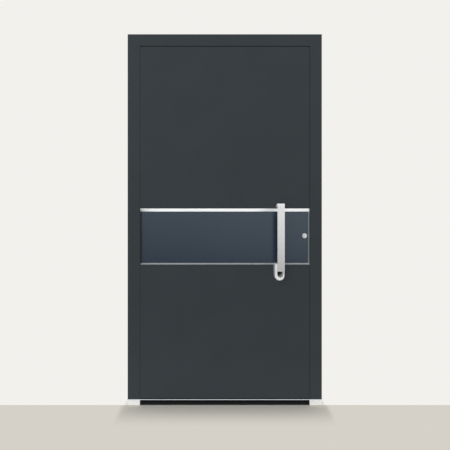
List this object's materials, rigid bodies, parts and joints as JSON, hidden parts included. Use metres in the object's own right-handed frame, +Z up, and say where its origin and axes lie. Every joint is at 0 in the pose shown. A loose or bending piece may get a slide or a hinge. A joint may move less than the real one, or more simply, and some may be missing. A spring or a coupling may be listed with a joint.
{
  "type": "aluminium front door",
  "caption": "Flush aluminium front door in its frame, with a recessed band, a long pull handle and a low threshold; the leaf swings inwards on barrel hinges.",
  "frame": {"origin": "centre of the threshold's underside", "axes": "+X to the right seen from outdoors, +Y into the house, +Z up"},
  "size_m": [1.1, 0.2045, 2.1],
  "materials": {
    "frame_coating": "fine-textured anthracite powder coat",
    "leaf_coating": "fine-textured anthracite powder coat",
    "panel_coating": "smooth blue-grey coat",
    "bright_aluminium": "satin anodised",
    "sill_aluminium": "mill finish",
    "stainless": "brushed",
    "lock_steel": "plain zinc-plated",
    "cylinder_nickel": "satin nickel",
    "hinge_coating": "anthracite powder coat",
    "insulating_strip": "dark polyamide",
    "seal_rubber": "black",
    "threshold_plastic": "black insulating block",
    "foot_plastic": "white packer",
    "foam": "rigid foam"
  },
  "bodies": {
    "frame": {"frame_left_outer": "frame_coating", "frame_right_outer": "frame_coating", "frame_head_outer": "frame_coating", "frame_left_inner": "frame_coating", "frame_right_inner": "frame_coating", "frame_head_inner": "frame_coating", "frame_thermal_breaks": "insulating_strip", "frame_stop_seal": "seal_rubber", "threshold_base": "threshold_plastic", "threshold_plate": "sill_aluminium", "threshold_break": "insulating_strip", "left_foot": "foot_plastic", "right_foot": "foot_plastic", "strike_plates": "stainless", "hinge_bottom_frame": "hinge_coating", "hinge_middle_frame": "hinge_coating", "hinge_top_frame": "hinge_coating"},
    "leaf": {"leaf_outer_skin_upper": "leaf_coating", "leaf_outer_skin_lower": "leaf_coating", "leaf_inner_skin": "leaf_coating", "leaf_core": "foam", "leaf_hinge_stile": "leaf_coating", "leaf_lock_stile": "leaf_coating", "leaf_top_rail": "leaf_coating", "leaf_bottom_rail": "leaf_coating", "leaf_edge_break": "insulating_strip", "leaf_bottom_seal": "seal_rubber", "recess_panel": "panel_coating", "recess_trim_top": "bright_aluminium", "recess_trim_bottom": "bright_aluminium", "recess_trim_left": "bright_aluminium", "recess_trim_right": "bright_aluminium", "pull_bar": "stainless", "pull_bar_loop": "stainless", "cylinder_rosette": "stainless", "lock_cylinder": "cylinder_nickel", "inner_cylinder_rosette": "stainless", "lever_rosette": "stainless", "inside_lever": "stainless", "lock_faceplate": "stainless", "latch_bolt": "lock_steel", "dead_bolt": "lock_steel", "hook_bolts": "lock_steel", "hinge_bottom_leaf": "hinge_coating", "hinge_middle_leaf": "hinge_coating", "hinge_top_leaf": "hinge_coating"},
    "lock_plug": {"cylinder_plug": "cylinder_nickel"}
  },
  "joints": [
    {"name": "leaf_swing", "type": "hinge", "parent": "frame", "child": "leaf", "pos_m": [-0.5005, 0.054, 0], "axis": [0, 0, 1], "range_deg": [0, 100]},
    {"name": "key_turn", "type": "hinge", "parent": "leaf", "child": "lock_plug", "pos_m": [0.4555, -0.03, 0.958], "axis": [0, 1, 0], "continuous": true}
  ]
}
